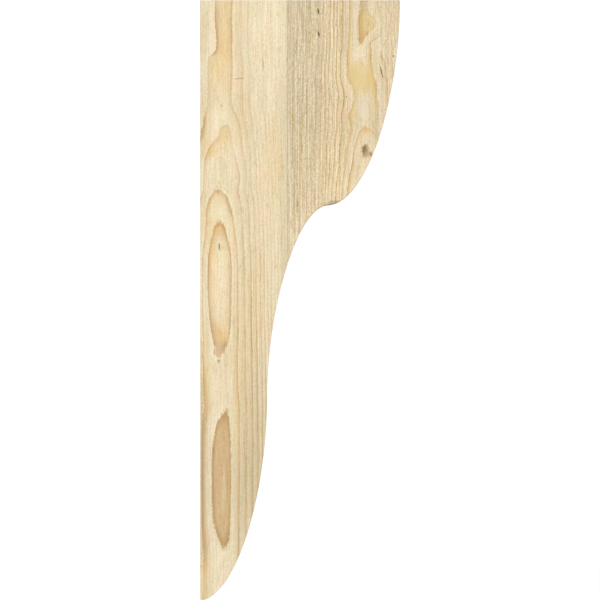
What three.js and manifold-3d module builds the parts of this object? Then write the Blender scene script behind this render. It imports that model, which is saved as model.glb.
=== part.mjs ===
// A plain sawn-timber corbel bracket, the kind that stands on a wall under an eave or a shelf.
// Two timbers are glued edge to edge and sawn together to one profile: a full belly under the top,
// a hollow throat below it, and a long narrow tail that runs down the wall to a blunt toe.
// Millimetres. X points out of the wall, Y runs across the bracket, Z points up.
// The origin is on the wall face, at half the bracket's height and half its width.

import * as THREE from "three";
import { mergeVertices } from "three/addons/utils/BufferGeometryUtils.js";
import Module from "manifold-3d";

// Overall sizes
const HEIGHT = 609.6;
const PROJECTION = 203.2;
const WIDTH = 88.9;

// The two timbers, measured out from the wall
const BACK_TIMBER_DEPTH = 88.9;
const GLUE_LINE = 0.1;

// The profile's turning points: depth is measured out from the wall, drop down from the top
const THROAT_DEPTH = 130.0;
const THROAT_DROP = 207.8;
const THROAT_SLOPE_DEG = 3.2;
const TAIL_DEPTH = 67.8;
const TAIL_DROP = 405.4;
const TOE_DEPTH = 4.7;
const TOE_SLOPE_DEG = 20.7;

// How full each curve is: the length of a curve's handle as a share of the distance that it spans
const BELLY_START_FULLNESS = 0.445;
const BELLY_END_FULLNESS = 0.588;
const THROAT_START_FULLNESS = 0.503;
const THROAT_END_FULLNESS = 0.456;
const TAIL_START_FULLNESS = 0.419;
const TAIL_END_FULLNESS = 0.642;
const STEPS_PER_CURVE = 40;

// The sharp edges left by the saw are eased by this much
const EASED_EDGE = 0.8;

// How far the uncut timbers run past the bracket on every side
const SAW_ALLOWANCE = 20;

const TOP = HEIGHT / 2;
const TOE = -HEIGHT / 2;

// The side view of the bracket, as x out of the wall and y up
function sideProfile() {
  const throat = new THREE.Vector2(THROAT_DEPTH, TOP - THROAT_DROP);
  const tail = new THREE.Vector2(TAIL_DEPTH, TOP - TAIL_DROP);
  const toe = new THREE.Vector2(TOE_DEPTH, TOE);
  const towardsWall = (degrees) => {
    const angle = THREE.MathUtils.degToRad(degrees);
    return new THREE.Vector2(-Math.cos(angle), -Math.sin(angle));
  };
  const handle = (from, direction, length) => from.clone().addScaledVector(direction, length);
  const throatHeading = towardsWall(THROAT_SLOPE_DEG);
  const toeHeading = towardsWall(TOE_SLOPE_DEG);

  const bellyStart = TOP - BELLY_START_FULLNESS * THROAT_DROP;
  const bellyEnd = handle(throat, throatHeading, -BELLY_END_FULLNESS * (PROJECTION - THROAT_DEPTH));
  const hollowStart = handle(throat, throatHeading, THROAT_START_FULLNESS * (THROAT_DEPTH - TAIL_DEPTH));
  const hollowEnd = tail.y + THROAT_END_FULLNESS * (TAIL_DROP - THROAT_DROP);
  const tailStart = tail.y - TAIL_START_FULLNESS * (tail.y - TOE);
  const tailEnd = handle(toe, toeHeading, -TAIL_END_FULLNESS * (TAIL_DEPTH - TOE_DEPTH));

  const profile = new THREE.Shape();
  profile.moveTo(0, TOE);
  profile.lineTo(toe.x, toe.y);
  profile.bezierCurveTo(tailEnd.x, tailEnd.y, tail.x, tailStart, tail.x, tail.y);
  profile.bezierCurveTo(tail.x, hollowEnd, hollowStart.x, hollowStart.y, throat.x, throat.y);
  profile.bezierCurveTo(bellyEnd.x, bellyEnd.y, PROJECTION, bellyStart, PROJECTION, TOP);
  profile.lineTo(0, TOP);
  profile.closePath();
  return profile;
}

// The glued blank after it is sawn to the profile, centred across its width, with eased edges
function sawnBracket() {
  const geometry = new THREE.ExtrudeGeometry(sideProfile(), {
    depth: WIDTH - 2 * EASED_EDGE,
    curveSegments: STEPS_PER_CURVE,
    bevelEnabled: true,
    bevelThickness: EASED_EDGE,
    bevelSize: EASED_EDGE,
    bevelOffset: -EASED_EDGE,
    bevelSegments: 1,
  });
  geometry.rotateX(Math.PI / 2);
  geometry.translate(0, WIDTH / 2 - EASED_EDGE, 0);
  return geometry;
}

// One uncut timber that fills the depth between two distances from the wall
function timberBlank(fromDepth, toDepth) {
  const geometry = new THREE.BoxGeometry(
    toDepth - fromDepth,
    WIDTH + 2 * SAW_ALLOWANCE,
    HEIGHT + 2 * SAW_ALLOWANCE,
  );
  geometry.translate((fromDepth + toDepth) / 2, 0, 0);
  return geometry;
}

const wasm = await Module();
wasm.setup();

function solidFrom(geometry) {
  const bare = geometry.clone();
  bare.deleteAttribute("normal");
  bare.deleteAttribute("uv");
  const merged = mergeVertices(bare);
  return new wasm.Manifold(
    new wasm.Mesh({
      numProp: 3,
      vertProperties: merged.getAttribute("position").array,
      triVerts: new Uint32Array(merged.index.array),
    }),
  );
}

function geometryFrom(solid) {
  const { vertProperties, triVerts } = solid.getMesh();
  const indexed = new THREE.BufferGeometry();
  indexed.setAttribute("position", new THREE.BufferAttribute(vertProperties, 3));
  indexed.setIndex(new THREE.BufferAttribute(triVerts, 1));
  const faceted = indexed.toNonIndexed();
  faceted.computeVertexNormals();
  return faceted;
}

// The part of the sawn bracket that one timber makes up
function sawnTimber(name, fromDepth, toDepth, colour) {
  const solid = solidFrom(sawnBracket()).intersect(solidFrom(timberBlank(fromDepth, toDepth)));
  const material = new THREE.MeshStandardMaterial({ color: colour, roughness: 0.85, metalness: 0 });
  const mesh = new THREE.Mesh(geometryFrom(solid), material);
  mesh.name = name;
  return mesh;
}

const bracket = new THREE.Group();
bracket.name = "corbel_bracket";
bracket.add(sawnTimber("back_timber", -SAW_ALLOWANCE, BACK_TIMBER_DEPTH, 0xe9d6b0));
bracket.add(
  sawnTimber("front_timber", BACK_TIMBER_DEPTH + GLUE_LINE, PROJECTION + SAW_ALLOWANCE, 0xdcc69c),
);

export default bracket;
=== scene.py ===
"""A plain sawn-timber corbel bracket, two pine timbers glued edge to edge, dressed for its picture.

The part's own frame is used: metres, X out of the wall, Y across, Z up. The wood's figure is set out
in millimetres, as a maker would mark it on the board: depth out from the wall, drop down from the top
and inset in from the front face.
"""

import math
from collections import namedtuple

import bmesh
import bpy
import numpy as np
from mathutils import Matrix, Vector, noise


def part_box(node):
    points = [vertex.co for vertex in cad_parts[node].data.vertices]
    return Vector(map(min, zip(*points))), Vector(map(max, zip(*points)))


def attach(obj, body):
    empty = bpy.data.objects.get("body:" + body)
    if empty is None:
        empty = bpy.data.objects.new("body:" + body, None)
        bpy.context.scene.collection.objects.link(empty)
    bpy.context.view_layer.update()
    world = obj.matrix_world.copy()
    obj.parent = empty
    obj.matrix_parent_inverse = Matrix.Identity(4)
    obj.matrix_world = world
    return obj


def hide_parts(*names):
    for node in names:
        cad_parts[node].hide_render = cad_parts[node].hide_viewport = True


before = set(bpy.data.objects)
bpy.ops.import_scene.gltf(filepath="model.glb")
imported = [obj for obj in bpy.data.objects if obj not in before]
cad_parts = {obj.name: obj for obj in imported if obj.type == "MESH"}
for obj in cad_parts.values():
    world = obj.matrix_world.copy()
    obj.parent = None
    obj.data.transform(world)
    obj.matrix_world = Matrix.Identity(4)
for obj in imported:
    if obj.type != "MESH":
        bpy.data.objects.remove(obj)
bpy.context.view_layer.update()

MM = 0.001

# The share of the gap between the two solids that stays open at the glued joint
JOINT_SHARE = 0.25

# The bracket's faces, read from the frame
back_low, back_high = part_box("back_timber")
front_low, front_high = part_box("front_timber")
TOP = back_high.z
TOE = back_low.z
FACE = back_low.y
WIDTH = back_high.y - back_low.y
PROJECTION = front_high.x
BACK_GLUE_FACE = back_high.x
FRONT_GLUE_FACE = BACK_GLUE_FACE + JOINT_SHARE * (front_low.x - BACK_GLUE_FACE)

# How the timbers are worked: eased outer edges, a tight glue joint, and a feather edge on the front
# timber. Wear changes an eased edge by up to a share of itself, over a stretch of the edge, and no edge
# is larger than its limit, a share of the timber's width.
EASED_EDGE = 0.8 * MM
WEAR = 0.25
WEAR_STRETCH = 32 * MM
EASED_EDGE_LIMIT = 0.3
JOINT_EDGE = 0.05 * MM
TOE_EDGE = 0.5 * MM
FEATHER_EDGE = 0.6 * MM

# Steps of the small quads on each timber: columns out from the wall, rows down, layers through
BACK_STEPS = (84, 300, 46)
FRONT_STEPS = (96, 210, 50)

# Quads are split round a mark that sinks in, with this room beside it and above it, in millimetres.
# An edge longer than the last value hasn't been split yet.
DENT_ROOM_BESIDE = 1.2
DENT_ROOM_ABOVE = 1.5
UNSPLIT_EDGE = 0.7 * MM

# The distance between the points of the sawn line, and between those of the joint above it
SAWN_LINE_STEP = 0.25 * MM
JOINT_LINE_STEP = 0.5 * MM

# A point this near to the front face, or to the glued face, is on it
ON_FACE = 0.01 * MM
ON_GLUE_FACE = 0.3 * MM

# Relief of the worked wood, and the distances over which it changes
LATEWOOD_PROUD = 0.14 * MM
SAW_RIDGE = 0.12 * MM
SAW_RIDGE_PITCH = 6.5 * MM
SAW_RIDGE_REACH = 90 * MM
SLOW_SWELL = 0.05 * MM
SLOW_SWELL_REACH = 45 * MM

# Growth rings, in millimetres. The heart is a line behind the front face: "heart" is its depth,
# "cover" its distance behind the face, by drop. "wander" and "sway" shift the rings sideways, near the
# heart and further out. "radii" are the ring edges, the first of them being ring number "first", and
# "later" is the width of the rings past them. Past the radius "outer_from", "drift" moves the rings
# towards the heart and "squeeze" packs them closer. A swell is a bulge: drop, depth, half height, half
# width, rise. A curl is curly grain beside a branch: drop, depth, half height, half width, and how many
# ring widths it shifts the rings. "years" is how dark the late wood of each ring is.
BACK_RINGS = {
    "heart": 20.8,
    "radii": (3.6, 7.4, 11.3, 15.0, 18.8, 22.4, 26.2, 30.2, 34.0, 37.5, 41.8, 46.2, 50.0, 53.6, 56.5, 59.5),
    "first": -7,
    "later": 3.1,
    "cover": (
        (0, 45.2), (50, 45.3), (60, 44.5), (96, 44.1), (110, 43.4), (119, 42.0), (127, 41.0),
        (130, 40.5), (133, 40.3), (138, 40.05), (142, 39.7), (145, 39.4), (150, 38.7), (155, 38.1),
        (165, 37.1), (175, 36.9), (186, 36.75), (193, 36.6), (195, 36.4), (198, 35.9), (204, 35.1),
        (211, 34.5), (218, 34.15), (224, 34.02), (227, 33.9), (231, 33.57), (239, 33.2), (244, 32.9),
        (254, 32.25), (264, 31.85), (295, 31.7), (320, 31.85), (335, 31.9), (345, 31.93), (352, 32.0),
        (357, 31.86), (361, 31.81), (362.8, 31.8), (365, 32.02), (372, 32.1), (437, 32.4), (530, 32.7),
        (610, 32.5),
    ),
    "wander": (
        (0, 5.2), (20, 4.3), (41, 5.6), (51, 5.0), (60, -0.5), (97, -1.5), (116, 0.5), (128, 5.8),
        (133, 5.6), (138, 5.2), (142, 4.2), (145, 3.4), (150, 1.8), (155, 0.8), (165, -1.0),
        (180, -1.5), (194, -2.8), (204, -3.8), (211, -3.9), (218, -3.2), (226, -1.0), (250, -1.1),
        (294, -1.9), (340, 0.4), (352, 0.0), (357, -0.9), (361, -2.0), (368, -0.8), (395, 2.5),
        (414, 7.0), (432, 3.6), (486, 1.8), (530, 2.2), (556, 4.8), (610, 1.0),
    ),
    "wander_reach": 14.2,
    "sway": ((0, 0), (610, 0)),
    "sway_reach": 40.0,
    "outer_from": 34.0,
    "drift": (
        (0, 0), (60, 0), (127, 1.0), (195, 1.5), (218, 1.1), (245, 1.4), (295, 1.5), (345, 0.8),
        (386, 0), (467, -0.5), (610, -0.3),
    ),
    "squeeze": ((0, 1.0), (610, 1.0)),
    "swells": (
        (384, 21.3, 50.0, 14.0, -2.7), (600, 21.5, 48.0, 13.0, -3.2), (181, 39.0, 14.0, 6.0, 1.4),
    ),
    "curls": (),
    "years": (
        (-9, 0.8), (-1, 0.9), (0, 1.0), (1, 1.0), (2, 0.9), (3, 1.1), (4, 1.0), (5, 0.8), (6, 0.9),
        (7, 0.6), (8, 0.8), (9, 0.6), (20, 0.7),
    ),
}
FRONT_RINGS = {
    "heart": 168.7,
    "radii": (
        3.0, 6.4, 10.0, 13.6, 17.4, 21.2, 24.3, 28.6, 32.2, 36.9, 40.5, 43.6, 46.4, 49.3, 52.3, 56.3, 60.3,
        64.0, 67.2, 71.4, 75.7,
    ),
    "first": -6,
    "later": 4.2,
    "cover": (
        (0, 28.38), (5, 28.38), (10, 28.36), (15, 28.1), (18, 27.6), (20.5, 27.2), (23.5, 27.05),
        (27.5, 27.6), (31.5, 28.05), (35.5, 28.25), (40.5, 28.2), (43, 28.25), (45.5, 28.6),
        (48, 28.85), (60, 29.05), (81, 29.1), (97, 29.9), (112, 29.1), (128, 28.6), (142, 26.2),
        (163, 25.4), (610, 25.4),
    ),
    "wander": (
        (0, -2.6), (10, -2.5), (15, -1.6), (18, 0.3), (20.5, 1.5), (23.5, 2.2), (27.5, 0.3),
        (31.5, -1.9), (35.5, -3.2), (40.5, -3.8), (45, -5.0), (50, -8.0), (61, -9.8), (75, -8.0),
        (90, -3.0), (100, -1.0), (114, -2.5), (128, -0.8), (142, 2.0), (160, 0), (610, 0),
    ),
    "wander_reach": 20.0,
    "sway": ((0, 0), (130, 0), (163, -1.0), (183, -6.0), (200, -9.0), (270, -10.0), (610, -10.0)),
    "sway_reach": 36.0,
    "outer_from": 32.2,
    "drift": ((0, 0), (610, 0)),
    "squeeze": ((0, 1.0), (35, 1.0), (76, 0.9), (127, 0.9), (178, 0.94), (610, 1.0)),
    "swells": (
        (79, 165.0, 15.0, 9.0, -1.9), (62, 148.5, 17.0, 6.0, 1.2), (80, 149.5, 9.0, 6.0, 1.2),
        (119, 149.5, 8.0, 6.0, 1.3), (67, 175.0, 10.0, 6.0, 1.5), (43.5, 180.5, 5.0, 7.0, -2.7),
        (14, 150.0, 26.0, 6.0, 0.5),
    ),
    "curls": ((26.0, 196.0, 42.0, 14.0, 0.9),),
    "years": (
        (-9, 0.8), (0, 0.9), (1, 1.0), (2, 1.15), (3, 1.15), (4, 1.05), (5, 0.85), (6, 1.1), (7, 0.95),
        (8, 0.75), (9, 0.6), (10, 0.6), (11, 1.5), (12, 0.3), (13, 1.4), (14, 0.4), (20, 0.7),
    ),
}
# The directions across and along the waves of curly grain, as (depth, drop) in waves per millimetre
CURL_ACROSS = (0.11, 0.10)
CURL_ALONG = (0.030, -0.034)

# How strongly the late wood is coloured: by drop near the heart, by drop further out, and by depth. The
# patches add to it: drop, depth, half height, half width, amount.
BACK_LATE_NEAR = (
    (0, 0.62), (60, 0.6), (90, 0.5), (130, 0.6), (165, 0.5), (200, 0.6), (226, 0.62), (300, 0.65),
    (372, 0.65), (405, 1.0), (555, 1.0), (580, 0.6), (610, 0.5),
)
BACK_LATE_FAR = (
    (0, 0.15), (100, 0.18), (180, 0.28), (230, 0.45), (300, 0.6), (400, 0.65), (480, 0.55), (610, 0.6),
)
BACK_LATE_REACH = 14.0
BACK_LATE_PATCHES = (
    (486, 19.0, 95, 9.0, 3.6), (348, 18.8, 24, 7.0, 0.9), (130, 3.0, 12, 3.5, 1.3),
    (155, 8.5, 9, 5.0, 1.0), (206, 8.0, 12, 5.0, 1.0), (206, 29.0, 14, 5.0, 0.9),
    (230, 20.0, 10, 8.0, 0.5), (190, 39.0, 30, 4.0, 0.3), (474, 3.0, 95, 4.0, 1.4),
    (330, 5.0, 65, 4.5, -0.6), (430, 60.0, 100, 9.0, 0.5), (34, 16.5, 24, 3.0, 0.8),
    (28, 32.0, 34, 4.0, 0.7), (270, 9.5, 40, 4.0, 0.8), (95, 44.5, 50, 4.0, 0.25),
    (590, 3.0, 18, 4.0, -0.3), (146, 27.0, 16, 6.0, -0.3), (134, 19.0, 8, 6.0, -0.3),
    (198, 18.5, 7, 7.0, 0.5),
)
FRONT_LATE = (
    (89, 0.4), (107, 0.5), (125, 0.65), (131, 0.9), (147, 0.95), (156, 0.7), (176, 0.6), (184, 0.45),
    (203, 0.45),
)
FRONT_LATE_PATCHES = (
    (18, 162.5, 14, 3.0, 1.6), (37, 164.0, 9, 4.0, 3.5), (22, 171.0, 9, 4.0, -0.1),
    (60, 149.0, 16, 3.0, 0.3), (117, 152.0, 7, 4.0, 0.25), (131, 176.0, 6, 6.0, -0.35),
    (74, 176.0, 26, 4.0, 0.7), (28, 183.5, 16, 7.0, -0.35),
)

# How coarse the fibres look, by depth
BACK_COARSE = ((0, 0.75), (14, 0.75), (20, 0.8), (30, 0.75), (38, 0.75), (60, 0.8), (89, 0.8))
FRONT_COARSE = (
    (89, 1.5), (97, 1.7), (112, 1.8), (125, 1.6), (137, 1.45), (147, 1.2), (154, 0.85), (175, 0.85),
    (184, 1.0), (203, 1.1),
)

# How light each board's ground is, by drop and by depth. The patches add to it, as above.
BACK_LIGHT_NEAR = (
    (0, 0.965), (25, 0.97), (60, 0.97), (120, 0.97), (200, 0.99), (225, 0.98), (300, 0.97),
    (380, 0.97), (400, 0.95), (430, 0.94), (480, 0.93), (540, 0.94), (570, 0.94), (610, 0.93),
)
BACK_LIGHT_FAR = (
    (0, 0.92), (25, 0.94), (60, 0.93), (120, 0.90), (240, 0.91), (300, 0.90), (400, 0.85), (480, 0.78),
    (610, 0.9),
)
BACK_LIGHT_REACH = 18.0
BACK_LIGHT_PATCHES = (
    (300, 0.0, 100, 7.0, 0.06), (590, 0.0, 25, 8.0, 0.09), (122, 35.0, 16, 7.0, -0.05),
    (150, 83.0, 60, 6.0, -0.05), (420, 58.0, 60, 7.0, -0.05), (498, 42.0, 35, 9.0, -0.04),
    (340, 24.0, 14, 9.0, 0.06), (90, 17.0, 20, 12.0, -0.025), (250, 58.0, 60, 12.0, -0.02),
)
BACK_LIGHT_OUT = (
    (0, 0.93), (14, 0.99), (30, 1.0), (44, 0.97), (62, 1.03), (76, 1.03), (83, 0.98), (89, 0.93),
)
FRONT_LIGHT_DOWN = (
    (0, 0.935), (15, 0.96), (36, 0.985), (60, 1.0), (110, 0.98), (150, 1.0), (190, 1.03), (225, 1.08),
    (610, 1.08),
)
FRONT_LIGHT_OUT = ((89, 0.85), (97, 0.88), (112, 0.9), (125, 0.95), (135, 0.99), (160, 1.01), (203, 0.98))
FRONT_LIGHT_PATCHES = (
    (62, 193.0, 16, 6.0, -0.07), (126, 181.0, 14, 7.0, -0.06), (158, 172.0, 10, 7.0, -0.04),
    (32, 150.0, 16, 7.0, -0.05), (188, 147.0, 9, 7.0, 0.05), (150, 128.0, 18, 8.0, 0.03),
    (125, 95.0, 20, 6.0, 0.04),
)

# Patches where resin has soaked in and yellowed the wood: drop, depth, half height, half width, amount
BACK_RESIN = (
    (18, 24.5, 34, 7.0, 0.45), (48, 24.0, 14, 7.0, 0.5), (24, 31.0, 34, 2.0, 0.35),
    (70, 19.0, 14, 9.0, 0.35), (118, 4.5, 14, 3.5, 0.5), (134, 26.5, 9, 5.0, 0.35),
    (152, 7.0, 12, 6.0, 0.4), (203, 18.0, 9, 6.0, 0.45), (222, 5.5, 22, 3.0, 0.4),
    (235, 34.5, 30, 2.0, 0.4), (245, 11.5, 22, 4.0, 0.8), (231, 19.5, 7, 5.0, 0.75),
    (300, 11.0, 30, 2.5, 0.25), (340, 21.5, 12, 8.0, 0.5), (395, 6.0, 30, 4.0, 0.4),
    (350, 3.0, 35, 3.0, 0.5), (395, 37.5, 60, 2.5, 0.45), (395, 43.5, 50, 2.0, 0.3),
    (585, 3.5, 24, 3.0, 0.6), (480, 45.0, 80, 16, 0.4), (300, 46.0, 70, 16, 0.25),
    (165, 73.0, 45, 13, 0.35), (70, 19.0, 16, 10, 0.2), (150, 19.0, 14, 10, 0.45),
    (520, 2.0, 90, 3.0, 0.4), (136, 25.0, 9, 6.0, 0.3), (150, 11.0, 10, 4.0, 0.4),
    (108, 39.0, 45, 6.0, 0.4), (165, 80.0, 35, 6.0, 0.25), (8, 41.0, 22, 8.0, 0.35),
    (122, 48.0, 45, 6.0, 0.25), (300, 58.0, 60, 7.0, 0.25),
)
FRONT_RESIN = (
    (82, 171.0, 11, 6.0, 0.8), (77, 159.0, 13, 8.0, 0.5), (68, 151.0, 12, 3.0, 0.1),
    (60, 176.0, 13, 2.5, 0.5), (22, 171.0, 11, 6.0, 0.7), (155, 114.0, 34, 16, 0.15),
    (117, 152.5, 6, 4.0, 0.15), (38, 166.0, 8, 2.5, 0.5), (113, 156.0, 8, 3.5, 0.55),
    (55, 152.0, 20, 2.0, 0.35), (105, 177.0, 22, 2.0, 0.4), (132, 168.0, 3.5, 5.5, 0.35),
    (128, 150.0, 16, 3.0, 0.3),
)

# Marks on the front faces, each an ellipse that fades into the wood below it. Sizes are half sizes in
# millimetres, the lean is in degrees, and a dent is how far the mark sinks into the face.
Mark = namedtuple("Mark", "drop depth high wide lean into colour cover dent")
BARK = (84, 64, 40)
RESIN = (118, 96, 54)
KNOT = (158, 136, 96)
KNOT_HEART = (116, 94, 62)
BRANCH_STAIN = (206, 172, 116)
GREY = (156, 140, 106)
OLIVE = (184, 168, 106)
BACK_MARKS = (
    Mark(251.5, 23.4, 2.6, 2.8, 0, 2.0, (203, 188, 148), 0.75, 0),
    Mark(250.4, 19.5, 3.6, 0.62, 2, 2.0, RESIN, 0.95, 0.35),
    Mark(366.8, 18.8, 1.5, 1.1, 0, 1.5, RESIN, 0.6, 0.2),
    Mark(64.0, 64.0, 5.0, 0.6, 3, 1.5, GREY, 0.6, 0.2),
    Mark(79.8, 39.6, 0.6, 5.2, 4, 1.5, GREY, 0.7, 0.2),
    Mark(61.0, 88.3, 2.6, 1.2, 0, 1.5, OLIVE, 0.6, 0),
    Mark(107.5, 21.8, 2.4, 0.6, 25, 1.5, GREY, 0.6, 0.2),
    Mark(99.5, 17.2, 1.4, 0.6, 10, 1.5, GREY, 0.4, 0),
    Mark(272.0, 21.8, 2.8, 1.8, 10, 1.5, (214, 200, 176), 0.6, 0),
    Mark(355.5, 18.8, 7.5, 3.8, 0, 3.0, (208, 180, 151), 0.5, 0),
    Mark(284.0, 20.6, 2.2, 1.2, -15, 1.5, (206, 190, 164), 0.6, 0),
    Mark(302.0, 22.6, 1.6, 0.8, -30, 1.5, (200, 184, 140), 0.6, 0),
    Mark(488.0, 27.6, 22.0, 0.9, 2, 2.0, (182, 146, 98), 0.75, 0),
    Mark(470.0, 2.0, 88.0, 0.9, 0, 3.0, (166, 140, 102), 0.6, 0),
)
FRONT_MARKS = (
    Mark(11.2, 120.4, 3.0, 0.8, 8, 2.5, BARK, 0.9, 0.5),
    Mark(34.6, 120.7, 3.0, 0.8, 8, 2.5, BARK, 0.9, 0.5),
    Mark(46.0, 147.0, 16.0, 4.0, 0, 2.0, (188, 172, 142), 0.3, 0),
    Mark(136.0, 180.0, 14.0, 4.0, 20, 2.0, (186, 164, 128), 0.25, 0),
    Mark(78.0, 163.0, 15.0, 11.5, 0, 2.0, (206, 184, 132), 0.7, 0),
    Mark(80.0, 173.0, 12.0, 3.4, 2, 2.0, (203, 174, 118), 0.45, 0),
    Mark(26.0, 161.6, 13.0, 2.6, 0, 2.0, (198, 156, 106), 0.45, 0),
    Mark(39.0, 164.0, 5.5, 2.6, 0, 2.0, (186, 146, 100), 0.5, 0),
    Mark(112.0, 166.0, 10.0, 6.0, 0, 2.0, (211, 196, 172), 0.4, 0),
    Mark(122.0, 163.5, 3.2, 1.4, 20, 1.5, (172, 156, 128), 0.4, 0),
    Mark(27.0, 161.7, 20.0, 0.6, 0, 2.0, (150, 128, 100), 0.5, 0),
    Mark(130.0, 166.0, 2.6, 2.8, 0, 9.0, BRANCH_STAIN, 0.55, 0),
    Mark(132.0, 171.5, 2.4, 2.8, 0, 9.0, BRANCH_STAIN, 0.55, 0),
    Mark(157.0, 168.5, 3.4, 5.0, 20, 12.0, (184, 154, 112), 0.8, 0.15),
    Mark(156.5, 173.4, 2.0, 1.6, 30, 12.0, (150, 122, 92), 0.8, 0.1),
    Mark(152.2, 168.0, 5.2, 3.6, -6, 14.0, KNOT, 0.9, 0.25),
    Mark(150.8, 167.0, 3.6, 2.0, -6, 14.0, KNOT_HEART, 0.7, 0.2),
    Mark(154.6, 166.2, 3.6, 0.7, 8, 10.0, KNOT_HEART, 0.55, 0.15),
    Mark(73.2, 184.4, 6.6, 0.75, 14, 2.0, (118, 98, 66), 0.85, 0.45),
    Mark(56.9, 196.6, 0.7, 0.6, 0, 1.0, BARK, 0.85, 0.2),
    Mark(98.6, 148.8, 0.7, 0.6, 0, 1.0, BARK, 0.85, 0.2),
    Mark(110.8, 128.5, 2.2, 2.0, 0, 1.5, (186, 152, 116), 0.6, 0),
    Mark(114.8, 107.9, 1.7, 0.9, 0, 1.5, GREY, 0.6, 0.15),
    # Painted shade, with some saw scorch, fading up the front face from the throat's edge
    Mark(205.4, 135.5, 1.6, 6.5, 8, 2.5, (146, 128, 104), 0.55, 0),
    Mark(207.3, 98.6, 8.4, 0.65, -1, 2.5, (160, 140, 108), 0.85, 0.4),
    Mark(203.0, 90.6, 4.0, 0.6, 0, 1.5, (168, 150, 118), 0.7, 0.2),
    Mark(226.6, 92.4, 5.4, 0.6, 3, 1.5, (172, 152, 118), 0.6, 0.2),
    Mark(114.8, 90.4, 1.4, 2.6, 0, 1.5, OLIVE, 0.6, 0),
)
# Painted shade under the throat, where the sawn edge turns out of it, with some scorch from the saw: drop,
# depth, half height, half width
THROAT_SHADE_AND_SCORCH = (206.0, 133.5, 3.5, 8.5)
# The colour of the painted shade and scorch under the throat
SHADE_AND_SCORCH_COLOUR = (98, 82, 68)


def curve(place, stops):
    """The value at each place, on a smooth line through (place, value) stops that never overshoots."""
    at, value = np.array(stops, float).T
    rise = np.diff(value) / np.diff(at)
    slope = np.gradient(value, at)
    limit = 3 * np.minimum(abs(rise[:-1]), abs(rise[1:])) * (rise[:-1] * rise[1:] > 0)
    slope[1:-1] = np.clip(slope[1:-1], -limit, limit)
    low = np.clip(np.searchsorted(at, place) - 1, 0, len(at) - 2)
    gap = at[low + 1] - at[low]
    t = np.clip((place - at[low]) / gap, 0, 1)
    from_low = (1 + 2 * t) * value[low] + t * gap * slope[low]
    from_high = (3 - 2 * t) * value[low + 1] - (1 - t) * gap * slope[low + 1]
    return (1 - t) ** 2 * from_low + t**2 * from_high


def uneven(places):
    """Smooth unevenness at each place, from about -1 to 1, that changes over a length of 1."""
    return np.array([noise.noise(place) for place in places.tolist()])


def ring_number(rings, depth, drop, inset):
    """How many growth rings lie between the heart and each point, with the share of the last ring."""
    side = depth - rings["heart"]
    near = np.exp(-((side / rings["wander_reach"]) ** 2))
    far = np.exp(-((side / rings["sway_reach"]) ** 2))
    side = side - curve(drop, rings["wander"]) * near - curve(drop, rings["sway"]) * far
    behind = curve(drop, rings["cover"]) - inset
    radius = np.hypot(side, behind)
    turn = np.arctan2(side, behind)
    for swell_drop, swell_depth, half_height, half_width, rise in rings["swells"]:
        cover = curve(np.array([swell_drop]), rings["cover"])[0]
        swell_turn = math.atan2(swell_depth - rings["heart"], cover)
        off_side = (turn - swell_turn) * cover / half_width
        radius = radius - rise * np.exp(-(off_side**2) - ((drop - swell_drop) / half_height) ** 2)
    beyond = np.maximum(radius - rings["outer_from"], 0)
    radius = radius - beyond * (1 - curve(drop, rings["squeeze"]))
    radius = radius + curve(drop, rings["drift"]) * (1 - np.exp(-beyond / 3))
    radii = list(rings["radii"])
    while radii[-1] < 200:
        radii.append(radii[-1] + rings["later"])
    number = np.interp(radius, [0, *radii], rings["first"] - 1 + np.arange(len(radii) + 1))
    for curl in rings["curls"]:
        number = number + curly_shift(curl, depth, drop, inset)
    return number


def curly_shift(curl, depth, drop, inset):
    """How many ring widths one patch of curly grain shifts the rings at each point."""
    at_drop, at_depth, high, wide, shift = curl
    share = np.exp(-(((drop - at_drop) / high) ** 4) - ((depth - at_depth) / wide) ** 4)
    across = depth * CURL_ACROSS[0] + drop * CURL_ACROSS[1]
    along = depth * CURL_ALONG[0] + drop * CURL_ALONG[1]
    return shift * share * uneven(np.column_stack([across, along, inset / 40]))


def sawn_line():
    """The sawn edge from the outer top corner to the toe, as close points of (depth, height)."""
    corners = [v.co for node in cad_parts.values() for v in node.data.vertices]
    full_level = WIDTH / 2 - EASED_EDGE
    marked = {(round(c.x, 6), round(c.z, 6)) for c in corners if abs(abs(c.y) - full_level) < ON_FACE}
    clear = 2 * ON_FACE
    kept = [(x, z) for x, z in marked if x > clear and (z < TOP - clear or x > PROJECTION - clear)]
    kept.sort(key=lambda point: (-point[1], -point[0]))
    points = np.array(kept)
    run = run_of(points)
    fine = np.arange(0, run[-1], SAWN_LINE_STEP)
    depth = curve(fine, np.column_stack([run, points[:, 0]]))
    height = curve(fine, np.column_stack([run, points[:, 1]]))
    return np.column_stack([np.append(depth, points[-1, 0]), np.append(height, points[-1, 1])])


def run_of(points):
    """The distance along a line of points, at each point."""
    return np.append(0, np.cumsum(np.hypot(*np.diff(points, axis=0).T)))


def block(columns, rows, layers):
    """A closed block of small quads. Its corners hold their step numbers: column, row and layer."""
    bm = bmesh.new()
    bmesh.ops.create_grid(bm, x_segments=columns, y_segments=rows, size=0.5)
    far = bmesh.ops.extrude_face_region(bm, geom=bm.faces[:], use_keep_orig=True)["geom"]
    bmesh.ops.translate(bm, verts=[g for g in far if isinstance(g, bmesh.types.BMVert)], vec=(0, 0, 1))
    through = [e for e in bm.edges if abs(e.verts[0].co.z - e.verts[1].co.z) > 0.5]
    bmesh.ops.subdivide_edges(bm, edges=through, cuts=layers - 1)
    for vert in bm.verts:
        x, y, z = vert.co
        vert.co = (round((x + 0.5) * columns), round((0.5 - y) * rows), round(z * layers))
    return bm


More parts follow.
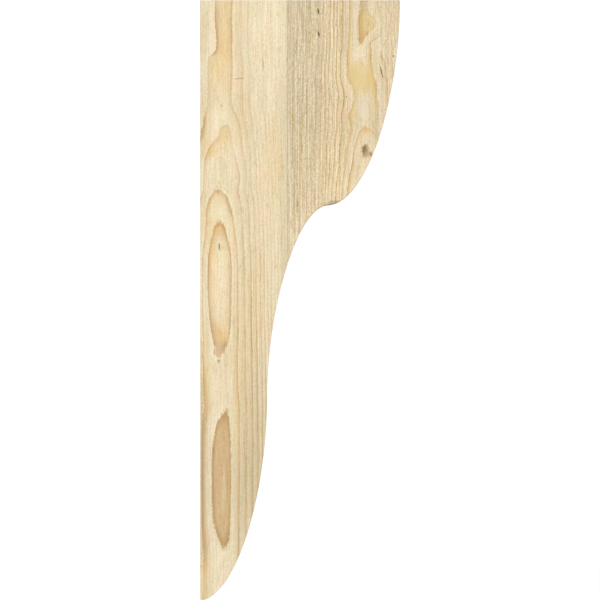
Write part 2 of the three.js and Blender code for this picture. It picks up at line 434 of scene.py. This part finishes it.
def graded(step, steps, length, start, end):
    """The distance that a step number stands for, with two short steps in the eased edge at each end."""

    def edge(count, ease):
        return np.where(count < 1, 0.35 * ease * count, ease * (0.35 + 0.65 * (count - 1)))

    middle = start + (step - 2) / (steps - 4) * (length - start - end)
    low = np.where(step < 2, edge(step, start), middle)
    return np.where(step > steps - 2, length - edge(steps - step, end), low)


def inner_and_offset(distance, length, start, end):
    """The nearest distance clear of the eased edges, the offset from it in shares, and that edge's size."""
    inner = np.clip(distance, start, length - end)
    ease = np.where(distance < inner, start, end)
    return inner, (distance - inner) / ease, ease


def shape_timber(bm, steps, outer, inner, edges):
    """Moves a block's corners to the timber's outline, between its inner and outer lines."""
    columns, rows, layers = steps
    step = np.array([v.co for v in bm.verts])
    run = run_of(outer)
    reach = np.hypot(*(outer - inner).T)

    down = graded(step[:, 1], rows, run[-1], edges["top"], edges["bottom"])
    wear = uneven(np.column_stack([down / WEAR_STRETCH, step[:, 0] / 60, step[:, 2] / 30]))
    change = 1 + WEAR * wear
    width = np.interp(down, run, reach)
    limit = EASED_EDGE_LIMIT * width
    face_edge = np.minimum(EASED_EDGE * change, limit)
    inner_edge = np.minimum(edges["inner"] * change, limit)
    outer_edge = np.minimum(np.interp(down, run, edges["outer"]) * change, limit)
    across = graded(step[:, 0], columns, width, inner_edge, outer_edge)
    inset = graded(step[:, 2], layers, WIDTH, face_edge, face_edge)

    down_in, down_off, down_ease = inner_and_offset(down, run[-1], edges["top"], edges["bottom"])
    across_in, across_off, across_ease = inner_and_offset(across, width, inner_edge, outer_edge)
    inset_in, inset_off, inset_ease = inner_and_offset(inset, WIDTH, face_edge, face_edge)
    reached = np.maximum(np.sqrt(down_off**2 + across_off**2 + inset_off**2), 1e-9)
    round_off = np.maximum(reached, 1)
    down = down_in + down_ease * down_off / round_off
    share = (across_in + across_ease * across_off / round_off) / width
    inset = inset_in + inset_ease * inset_off / round_off

    start = np.column_stack([np.interp(down, run, inner[:, k]) for k in (0, 1)])
    end = np.column_stack([np.interp(down, run, outer[:, k]) for k in (0, 1)])
    flat = start + (end - start) * share[:, None]
    for vert, (x, z), y in zip(bm.verts, flat, FACE + inset):
        vert.co = (x, y, z)
    run_layer = bm.verts.layers.float.new("run")
    sawn_layer = bm.verts.layers.float.new("sawn")
    for vert, d, column in zip(bm.verts, down, step[:, 0]):
        vert[run_layer] = d
        vert[sawn_layer] = float(column == columns)


def refine(bm, mark):
    """Splits the small quads of the front face round one mark, each only once, to give its dent room."""
    reach_x = (mark.wide + DENT_ROOM_BESIDE) * MM
    reach_z = (mark.high + DENT_ROOM_ABOVE) * MM
    x, z = mark.depth * MM, TOP - mark.drop * MM

    def inside(vert):
        near = abs(vert.co.x - x) < reach_x and abs(vert.co.z - z) < reach_z
        return near and vert.co.y < FACE + ON_FACE

    edges = [
        edge
        for edge in bm.edges
        if inside(edge.verts[0]) and inside(edge.verts[1]) and edge.calc_length() > UNSPLIT_EDGE
    ]
    if edges:
        bmesh.ops.subdivide_edges(bm, edges=edges, cuts=2, use_grid_fill=True)


def new_piece(name, bm):
    """An object made from a finished mesh, with its faces outward."""
    bmesh.ops.recalc_face_normals(bm, faces=bm.faces[:])
    mesh = bpy.data.meshes.new(name)
    bm.to_mesh(mesh)
    bm.free()
    mesh.polygons.foreach_set("use_smooth", [True] * len(mesh.polygons))
    piece = bpy.data.objects.new(name, mesh)
    bpy.context.scene.collection.objects.link(piece)
    return piece


def read_values(mesh, name):
    """One number at each corner of a mesh."""
    held = np.zeros(len(mesh.vertices), np.float32)
    mesh.attributes[name].data.foreach_get("value", held)
    return held.astype(float)


def write_values(mesh, name, held):
    """Keeps one number at each corner of a mesh, for its material to read."""
    layer = mesh.attributes.get(name) or mesh.attributes.new(name, "FLOAT", "POINT")
    layer.data.foreach_set("value", held.astype(np.float32))


def corners_of(mesh):
    held = np.zeros(len(mesh.vertices) * 3)
    mesh.vertices.foreach_get("co", held)
    return held.reshape(-1, 3)


def normals_of(mesh):
    held = np.zeros(len(mesh.vertices) * 3)
    mesh.vertex_normals.foreach_get("vector", held)
    return held.reshape(-1, 3)


def latewood(number):
    """How far into its dark late wood a ring is, from 0 in the pale spring wood to 1 at its edge."""
    share = number - np.floor(number)
    return np.clip((share - 0.35) / 0.6, 0, 1) ** 1.5


def soft_patches(patches, depth, drop, inset):
    """How much of the soft patches of (drop, depth, half height, half width, amount) each point has."""
    total = np.zeros(len(depth))
    for at_drop, at_depth, high, wide, amount in patches:
        total += amount * np.exp(-(((drop - at_drop) / high) ** 2) - ((depth - at_depth) / wide) ** 2)
    return total * np.exp(-((inset / 15) ** 2))


def dents(marks, depth, drop, inset):
    """How far the marks sink into the front face at each point, in millimetres."""
    sunk = np.zeros(len(depth))
    for mark in marks:
        turn = math.radians(mark.lean)
        right, down = depth - mark.depth, drop - mark.drop
        wide = (right * math.cos(turn) - down * math.sin(turn)) / (mark.wide + 0.1)
        high = (right * math.sin(turn) + down * math.cos(turn)) / (mark.high + 0.2)
        near = np.clip(1 - wide**2 - high**2, 0, 1)
        sunk = np.maximum(sunk, mark.dent * near * (inset < 0.8))
    return sunk


def work_surface(piece, rings, coarse, glue_face, marks):
    """Gives a timber its ring numbers, and the small relief of its planed faces and sawn edge."""
    mesh = piece.data
    places = corners_of(mesh)
    normals = normals_of(mesh)
    depth, inset, drop = places[:, 0] / MM, (places[:, 1] - FACE) / MM, (TOP - places[:, 2]) / MM
    number = ring_number(rings, depth, drop, inset)
    on_glue = np.abs(places[:, 0] - glue_face) < ON_GLUE_FACE
    sawn = read_values(mesh, "sawn") * ~on_glue
    along_saw = read_values(mesh, "run") / SAW_RIDGE_PITCH
    across_saw = places[:, 1] / SAW_RIDGE_REACH
    ridges = uneven(np.column_stack([along_saw, across_saw, np.full(len(depth), 2.0)]))
    planed = LATEWOOD_PROUD * (latewood(number) - 1)
    relief = np.where(sawn > 0.5, SAW_RIDGE * (ridges - 0.4), planed)
    relief = relief + SLOW_SWELL * uneven(places / SLOW_SWELL_REACH)
    relief[on_glue] = 0
    moved = places + normals * relief[:, None]
    moved[:, 1] += dents(marks, depth, drop, inset) * MM
    mesh.vertices.foreach_set("co", moved.ravel())
    write_values(mesh, "rings", number)
    write_values(mesh, "coarse", curve(depth, coarse))
    write_values(mesh, "sawn", sawn)
    write_values(mesh, "end_grain", np.abs(normals[:, 2]) * ~on_glue)
    mesh.update()
    return depth, drop, inset, number


def between(line, low, high):
    """The points of a line whose depth lies between two values."""
    return line[(line[:, 0] > low) & (line[:, 0] < high)]


def back_piece(line):
    """The timber against the wall, sawn along the lower stretch of the line."""
    below_joint = between(line, 0, BACK_GLUE_FACE)
    joint_height = np.arange(TOP, below_joint[0, 1], -JOINT_LINE_STEP)
    joint = np.column_stack([np.full(len(joint_height), BACK_GLUE_FACE), joint_height])
    outer = np.vstack([joint, below_joint])
    inner = np.column_stack([np.zeros(len(outer)), outer[:, 1]])
    outer_edge = np.where(np.arange(len(outer)) < len(joint), JOINT_EDGE, EASED_EDGE)
    bm = block(*BACK_STEPS)
    edges = {"top": EASED_EDGE, "bottom": TOE_EDGE, "inner": EASED_EDGE, "outer": outer_edge}
    shape_timber(bm, BACK_STEPS, outer, inner, edges)
    for mark in BACK_MARKS:
        if mark.dent:
            refine(bm, mark)
    piece = new_piece("sawn_back_timber", bm)
    depth, drop, inset, number = work_surface(piece, BACK_RINGS, BACK_COARSE, BACK_GLUE_FACE, BACK_MARKS)
    from_heart = np.abs(depth - BACK_RINGS["heart"])
    near = np.exp(-((from_heart / BACK_LATE_REACH) ** 2))
    late = curve(drop, BACK_LATE_NEAR) * near + curve(drop, BACK_LATE_FAR) * (1 - near)
    late = late + soft_patches(BACK_LATE_PATCHES, depth, drop, inset)
    write_values(piece.data, "late", late * year_strength(BACK_RINGS, number))
    write_values(piece.data, "resin", soft_patches(BACK_RESIN, depth, drop, inset))
    near = np.exp(-((from_heart / BACK_LIGHT_REACH) ** 2))
    light = curve(drop, BACK_LIGHT_NEAR) * near + curve(drop, BACK_LIGHT_FAR) * (1 - near)
    light = light + soft_patches(BACK_LIGHT_PATCHES, depth, drop, inset)
    write_values(piece.data, "light", light * curve(depth, BACK_LIGHT_OUT))
    return piece


def front_piece(line):
    """The timber glued on in front, sawn along the upper stretch of the line to a feather edge."""
    outer = between(line, FRONT_GLUE_FACE + FEATHER_EDGE, 1)
    share = run_of(outer) / run_of(outer)[-1]
    inner_height = TOP + (outer[-1, 1] - TOP) * share
    inner = np.column_stack([np.full(len(outer), FRONT_GLUE_FACE), inner_height])
    bm = block(*FRONT_STEPS)
    edges = {"top": EASED_EDGE, "bottom": JOINT_EDGE, "inner": JOINT_EDGE}
    edges["outer"] = np.full(len(outer), EASED_EDGE)
    shape_timber(bm, FRONT_STEPS, outer, inner, edges)
    for mark in FRONT_MARKS:
        if mark.dent:
            refine(bm, mark)
    piece = new_piece("sawn_front_timber", bm)
    depth, drop, inset, number = work_surface(piece, FRONT_RINGS, FRONT_COARSE, FRONT_GLUE_FACE, FRONT_MARKS)
    late = curve(depth, FRONT_LATE) + soft_patches(FRONT_LATE_PATCHES, depth, drop, inset)
    write_values(piece.data, "late", late * year_strength(FRONT_RINGS, number))
    write_values(piece.data, "resin", soft_patches(FRONT_RESIN, depth, drop, inset))
    light = curve(drop, FRONT_LIGHT_DOWN) + soft_patches(FRONT_LIGHT_PATCHES, depth, drop, inset)
    write_values(piece.data, "light", light * curve(depth, FRONT_LIGHT_OUT))
    return piece


def year_strength(rings, number):
    """How dark the late wood of each point's ring is, from the ring's year."""
    year, strength = np.array(rings["years"]).T
    return np.interp(np.floor(number), year, strength)


class Graph:
    """A material's nodes, made and linked by name."""

    def __init__(self, name):
        self.material = bpy.data.materials.new(name)
        self.material.use_nodes = True
        self.nodes = self.material.node_tree.nodes
        self.links = self.material.node_tree.links
        self.shader = self.nodes["Principled BSDF"]
        self.place = self.nodes.new("ShaderNodeTexCoord").outputs["Object"]

    def feed(self, socket, value):
        if isinstance(value, bpy.types.NodeSocket):
            self.links.new(value, socket)
        else:
            socket.default_value = value

    def math(self, operation, *values, clamp=False):
        node = self.nodes.new("ShaderNodeMath")
        node.operation = operation
        node.use_clamp = clamp
        for socket, value in zip(node.inputs, values):
            self.feed(socket, value)
        return node.outputs[0]

    def swayed(self, middle, *sways):
        """A value with sways added to it: each is (noise, gain), and its noise sways about a half."""
        total = middle
        for sway, gain in sways:
            total = self.math("MULTIPLY_ADD", self.math("SUBTRACT", sway, 0.5), gain, total)
        return total

    def attribute(self, name):
        node = self.nodes.new("ShaderNodeAttribute")
        node.attribute_name = name
        return node.outputs["Fac"]

    def stretched(self, across, along):
        """Object coordinates in grains per metre, finer across the grain than along it."""
        node = self.nodes.new("ShaderNodeMapping")
        node.inputs["Scale"].default_value = (across, across, along)
        self.links.new(self.place, node.inputs["Vector"])
        return node.outputs[0]

    def along_rings(self, rings, per_ring, across, along):
        """Places that follow the growth rings, in steps per ring, and per metre across and along."""
        y, z = self.parts(self.place)[1:]
        return self.joined(
            self.math("MULTIPLY", rings, per_ring),
            self.math("MULTIPLY", y, across),
            self.math("MULTIPLY", z, along),
        )

    def joined(self, *parts):
        node = self.nodes.new("ShaderNodeCombineXYZ")
        for socket, part in zip(node.inputs, parts):
            self.feed(socket, part)
        return node.outputs[0]

    def parts(self, vector):
        node = self.nodes.new("ShaderNodeSeparateXYZ")
        self.links.new(vector, node.inputs[0])
        return node.outputs[:]

    def noise(self, vector, detail=2.0, roughness=0.5):
        node = self.nodes.new("ShaderNodeTexNoise")
        self.links.new(vector, node.inputs["Vector"])
        node.inputs["Scale"].default_value = 1.0
        node.inputs["Detail"].default_value = detail
        node.inputs["Roughness"].default_value = roughness
        return node.outputs["Fac"]

    def spread(self, value, low, high, to_low=0.0, to_high=1.0):
        node = self.nodes.new("ShaderNodeMapRange")
        for socket, given in zip(node.inputs, (value, low, high, to_low, to_high)):
            self.feed(socket, given)
        return node.outputs[0]

    def ramp(self, value, stops):
        node = self.nodes.new("ShaderNodeValToRGB")
        elements = node.color_ramp.elements
        while len(elements) < len(stops):
            elements.new(0.5)
        for element, (position, level) in zip(elements, stops):
            element.position = position
            element.color = (level, level, level, 1)
        self.links.new(value, node.inputs[0])
        return node.outputs[0]

    def mix(self, share, first, second, blend="MIX"):
        node = self.nodes.new("ShaderNodeMix")
        node.data_type = "RGBA"
        node.blend_type = blend
        self.feed(node.inputs[0], share)
        self.feed(node.inputs[6], first)
        self.feed(node.inputs[7], second)
        return node.outputs[2]

    def tinted(self, share, colour, tint):
        """A colour with a share of a tint multiplied into it."""
        return self.mix(share, colour, self.mix(1.0, colour, tint, blend="MULTIPLY"))

    def grey(self, level):
        node = self.nodes.new("ShaderNodeCombineColor")
        for socket in node.inputs:
            self.feed(socket, level)
        return node.outputs[0]

    def blot(self, centre, radii, lean, fray):
        """1 inside a small ellipsoid and 0 outside it, with a soft and frayed rim."""
        node = self.nodes.new("ShaderNodeMapping")
        node.vector_type = "TEXTURE"
        node.inputs["Location"].default_value = centre
        node.inputs["Rotation"].default_value = (0, lean, 0)
        node.inputs["Scale"].default_value = radii
        self.links.new(self.place, node.inputs["Vector"])
        length = self.nodes.new("ShaderNodeVectorMath")
        length.operation = "LENGTH"
        self.links.new(node.outputs[0], length.inputs[0])
        frayed = self.swayed(length.outputs["Value"], (fray, 0.9))
        return self.spread(frayed, 1.35, 0.65)


def tone(red, green, blue):
    """A colour as it is mixed in light, from its 0 to 255 values on a screen."""

    def linear(level):
        level /= 255
        return level / 12.92 if level < 0.04045 else ((level + 0.055) / 1.055) ** 2.4

    return (linear(red), linear(green), linear(blue), 1)


# Tints that the wood's colour is multiplied by
LIFTED = (1.21, 1.23, 1.30, 1)
DEEPENED = (0.78, 0.74, 0.62, 1)
BLUSH = (1.01, 0.965, 0.955, 1)
GREENISH = (0.99, 0.992, 0.955, 1)
GOLDEN = (1.0, 0.985, 0.915, 1)
END_GRAIN = (0.80, 0.71, 0.58, 1)
SAWN_EDGE = (0.96, 0.94, 0.90, 1)
GLUE_STAIN = tone(198, 182, 142)

# Each board's colours: its spring wood, its late wood, the dark edge of a ring and its resin
Palette = namedtuple("Palette", "spring late edge gold")
BACK_PALETTE = Palette(tone(223, 210, 181), tone(198, 170, 129), tone(168, 136, 92), tone(218, 190, 138))
FRONT_PALETTE = Palette(tone(212, 197, 169), tone(193, 166, 114), tone(148, 122, 82), tone(212, 188, 128))

# The patterns that several steps of a material use
Grain = namedtuple("Grain", "rings coarse fibres strands specks layers")


def grain_of(graph):
    """A timber's ring numbers and coarseness, with its noises, from long fibres to small specks."""
    rings = graph.attribute("rings")
    return Grain(
        rings=rings,
        coarse=graph.attribute("coarse"),
        fibres=graph.noise(graph.stretched(1350, 42), detail=2, roughness=0.6),
        strands=graph.noise(graph.stretched(260, 9)),
        specks=graph.noise(graph.stretched(1000, 550), detail=1),
        layers=graph.noise(graph.along_rings(rings, 2.7, 20, 7), detail=2),
    )


def late_strength(graph, grain, end_grain):
    """How strongly the late wood is coloured, more on the end grain."""
    strength = graph.math(
        "MULTIPLY", graph.attribute("late"), graph.spread(grain.strands, 0.3, 0.7, 0.75, 1.25)
    )
    return graph.math("MULTIPLY", strength, graph.math("MULTIPLY_ADD", end_grain, 0.6, 1.0))


def share_of_ring(graph, grain):
    """How far through its ring each point is, from 0 to 1, with edges that are frayed by the fibres."""
    teeth = graph.math("MULTIPLY_ADD", graph.math("SUBTRACT", grain.specks, 0.5), grain.coarse, 0.5)
    frayed = graph.swayed(grain.rings, (grain.strands, 0.15), (grain.fibres, 0.06), (teeth, 0.16))
    return graph.math("FRACT", frayed)


def late_wood(graph, share, strength, layers):
    """How much of the late wood's colour shows at a share of a ring."""
    stops = ((0.0, 0.3), (0.04, 0.0), (0.42, 0.03), (0.66, 0.28), (0.82, 0.75), (0.95, 1.0))
    shown = graph.math("MULTIPLY", graph.ramp(share, stops), strength)
    return graph.math("MULTIPLY", shown, graph.spread(layers, 0.3, 0.7, 0.75, 1.25), clamp=True)


def soaked_resin(graph, share):
    """How much resin has soaked in at a share of a ring."""
    taken_up = graph.spread(share, 0.0, 0.6, 0.6, 1.0)
    return graph.math("MULTIPLY", graph.attribute("resin"), taken_up, clamp=True)


def ring_edge(graph, share, strength, layers):
    """How much of the thin dark line shows where a ring ends."""
    stops = ((0.0, 0.5), (0.035, 0.0), (0.86, 0.0), (0.95, 1.0))
    shown = graph.math("MULTIPLY", graph.ramp(share, stops), graph.math("MINIMUM", strength, 1.0))
    return graph.math("MULTIPLY", shown, graph.spread(layers, 0.35, 0.65, 0.2, 0.6))


def hued(graph, colour, layers):
    """A colour that drifts towards pink, green and gold from place to place."""
    hue = graph.noise(graph.stretched(120, 45), detail=2)
    colour = graph.tinted(graph.spread(hue, 0.5, 0.64), colour, BLUSH)
    colour = graph.tinted(graph.spread(hue, 0.5, 0.36), colour, GREENISH)
    return graph.tinted(graph.spread(layers, 0.5, 0.68), colour, GOLDEN)


def fibrous(graph, colour, grain):
    """A colour with the light and dark of fibres, pores and fine lines along the grain."""
    threads = graph.noise(graph.stretched(1450, 9), detail=1)
    clouds = graph.noise(graph.stretched(45, 14))
    pores = graph.spread(graph.noise(graph.stretched(600, 110), detail=1), 0.36, 0.28, 0.0, 0.3)
    fine_layers = graph.noise(graph.along_rings(grain.rings, 4.3, 60, 12), detail=1)
    hairlines = graph.spread(fine_layers, 0.45, 0.33, 0.0, 0.2)
    drawn = graph.math("MULTIPLY_ADD", graph.math("SUBTRACT", threads, 0.5), grain.coarse, 0.5)
    fine = graph.math("ADD", pores, hairlines)
    fine = graph.swayed(fine, (grain.fibres, -1.2), (drawn, -0.75), (grain.specks, -1.05))
    fine = graph.math("MULTIPLY", fine, grain.coarse)
    depth_of_tone = graph.swayed(fine, (grain.strands, -0.3), (grain.layers, -0.12), (clouds, -0.2))
    depth_of_tone = graph.math("ADD", depth_of_tone, 0.5, clamp=True)
    lifted = graph.mix(1.0, colour, LIFTED, blend="MULTIPLY")
    deepened = graph.mix(1.0, colour, DEEPENED, blend="MULTIPLY")
    return graph.mix(depth_of_tone, lifted, deepened)


def glued(graph, colour, fibres):
    """A colour with a thin stain of glue along the joint."""
    x = graph.parts(graph.place)[0]
    from_joint = graph.math("ABSOLUTE", graph.math("SUBTRACT", x, (BACK_GLUE_FACE + FRONT_GLUE_FACE) / 2))
    frayed = graph.swayed(from_joint, (fibres, 0.6 * MM))
    return graph.mix(graph.spread(frayed, 0.8 * MM, 0.3 * MM, 0.0, 0.15), colour, GLUE_STAIN)


def marked(graph, colour, marks, specks):
    """A colour with the marks of one timber laid over it."""
    for mark in marks:
        centre = (mark.depth * MM, FACE, TOP - mark.drop * MM)
        radii = (mark.wide * MM, mark.into * MM, mark.high * MM)
        blot = graph.blot(centre, radii, math.radians(-mark.lean), specks)
        colour = graph.mix(graph.math("MULTIPLY", blot, mark.cover), colour, tone(*mark.colour))
    return colour


def shaded_and_scorched(graph, colour, sawn):
    """A colour with painted shade and the saw's scorch on the sawn edge under the throat, in streaks."""
    drop, depth, high, wide = THROAT_SHADE_AND_SCORCH
    streaks = graph.noise(graph.stretched(20, 20), detail=3, roughness=0.7)
    blot = graph.blot((depth * MM, 0, TOP - drop * MM), (wide * MM, WIDTH, high * MM), 0, streaks)
    streaked = graph.spread(streaks, 0.35, 0.6, 1.0, 0.35)
    # Painted shade with some scorch, kept to the sawn edge and broken into streaks
    shade_and_scorch = graph.math("MULTIPLY", graph.math("MULTIPLY", blot, sawn), streaked)
    return graph.mix(shade_and_scorch, colour, tone(*SHADE_AND_SCORCH_COLOUR))


def worked_bump(graph, fibres, sawn):
    """The fine bump of the fibres, with the saw's lines on the sawn edge."""
    y = graph.parts(graph.place)[1]
    along_saw = graph.math("MULTIPLY", graph.attribute("run"), 620)
    saw_lines = graph.noise(graph.joined(along_saw, graph.math("MULTIPLY", y, 14), 0.0))
    height = graph.math("MULTIPLY_ADD", graph.math("MULTIPLY", saw_lines, sawn), 0.8, fibres)
    bump = graph.nodes.new("ShaderNodeBump")
    bump.inputs["Strength"].default_value = 0.5
    bump.inputs["Distance"].default_value = 0.3 * MM
    graph.links.new(height, bump.inputs["Height"])
    return bump.outputs[0]


def pine(name, palette, marks):
    """Pine whose colours follow the growth rings."""
    graph = Graph(name)
    grain = grain_of(graph)
    sawn = graph.attribute("sawn")
    end_grain = graph.spread(graph.attribute("end_grain"), 0.3, 0.95)

    strength = late_strength(graph, grain, end_grain)
    share = share_of_ring(graph, grain)
    late_share = late_wood(graph, share, strength, grain.layers)
    colour = graph.mix(late_share, palette.spring, palette.late)
    colour = graph.mix(soaked_resin(graph, share), colour, palette.gold)
    colour = graph.mix(ring_edge(graph, share, strength, grain.layers), colour, palette.edge)
    colour = fibrous(graph, hued(graph, colour, grain.layers), grain)
    colour = graph.mix(1.0, colour, graph.grey(graph.attribute("light")), blend="MULTIPLY")
    colour = graph.tinted(end_grain, colour, END_GRAIN)
    side_sawn = graph.math("MULTIPLY", sawn, graph.math("SUBTRACT", 1.0, end_grain))
    colour = graph.tinted(side_sawn, colour, SAWN_EDGE)
    colour = glued(graph, colour, grain.fibres)
    colour = marked(graph, colour, marks, grain.specks)
    # Painted shade under the throat, with some scorch from the saw, darkens the sawn edge there
    colour = shaded_and_scorched(graph, colour, sawn)

    roughness = graph.swayed(0.74, (grain.fibres, 0.2), (late_share, -0.1))
    graph.feed(graph.shader.inputs["Base Color"], colour)
    graph.feed(graph.shader.inputs["Roughness"], roughness)
    graph.feed(graph.shader.inputs["Specular IOR Level"], 0.25)
    graph.feed(graph.shader.inputs["Normal"], worked_bump(graph, grain.fibres, sawn))
    return graph.material


profile = sawn_line()
back = back_piece(profile)
front = front_piece(profile)
back.data.materials.append(pine("back pine", BACK_PALETTE, BACK_MARKS))
front.data.materials.append(pine("front pine", FRONT_PALETTE, FRONT_MARKS))

for piece, node in ((back, "back_timber"), (front, "front_timber")):
    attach(piece, "root")
    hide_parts(node)

FLOOR_DROP = 0.35
FLOOR_RADIUS = 12.0


def pale_floor():
    """A plain floor, well below the toe, because the bracket is fixed to a wall."""
    bm = bmesh.new()
    bmesh.ops.create_circle(bm, cap_ends=True, radius=FLOOR_RADIUS, segments=96)
    bmesh.ops.translate(bm, verts=bm.verts[:], vec=(0, 0, TOE - FLOOR_DROP))
    paint = bpy.data.materials.new("pale floor")
    paint.use_nodes = True
    shader = paint.node_tree.nodes["Principled BSDF"]
    shader.inputs["Base Color"].default_value = (0.97, 0.97, 0.97, 1)
    shader.inputs["Roughness"].default_value = 0.9
    piece = new_piece("floor", bm)
    piece.data.materials.append(paint)
    return piece


floor = pale_floor()

STUDIO_BRIGHTNESS = 1.04
scene = bpy.context.scene
scene.view_settings.view_transform = "Standard"
world = bpy.data.worlds.new("studio")
world.use_nodes = True
world.node_tree.nodes["Background"].inputs["Color"].default_value = (1, 1, 1, 1)
world.node_tree.nodes["Background"].inputs["Strength"].default_value = STUDIO_BRIGHTNESS
scene.world = world


def soft_light(name, place, size, power):
    """A round lamp that shines towards the bracket."""
    lamp = bpy.data.lights.new(name, "AREA")
    lamp.shape = "DISK"
    lamp.size = size
    lamp.energy = power
    light = bpy.data.objects.new(name, lamp)
    light.location = place
    light.rotation_euler = (-Vector(place)).to_track_quat("-Z", "Y").to_euler()
    scene.collection.objects.link(light)


soft_light("overhead", (0.2, -1.0, 3.0), 2.4, 20)
soft_light("key", (-1.6, -2.4, 1.6), 1.6, 14)
soft_light("fill", (2.6, -1.4, 1.2), 2.2, 3)

# A long lens from far off, square to the front face, because the photo shows hardly any perspective
LENS = 496.0
CAMERA_DISTANCE = 8.4
lens = bpy.data.cameras.new("camera")
lens.lens = LENS
lens.sensor_width = 36
lens.clip_end = 100
camera = bpy.data.objects.new("camera", lens)
camera.location = (PROJECTION / 2, FACE - CAMERA_DISTANCE, (TOP + TOE) / 2)
camera.rotation_euler = (math.pi / 2, 0, 0)
scene.collection.objects.link(camera)
scene.camera = camera
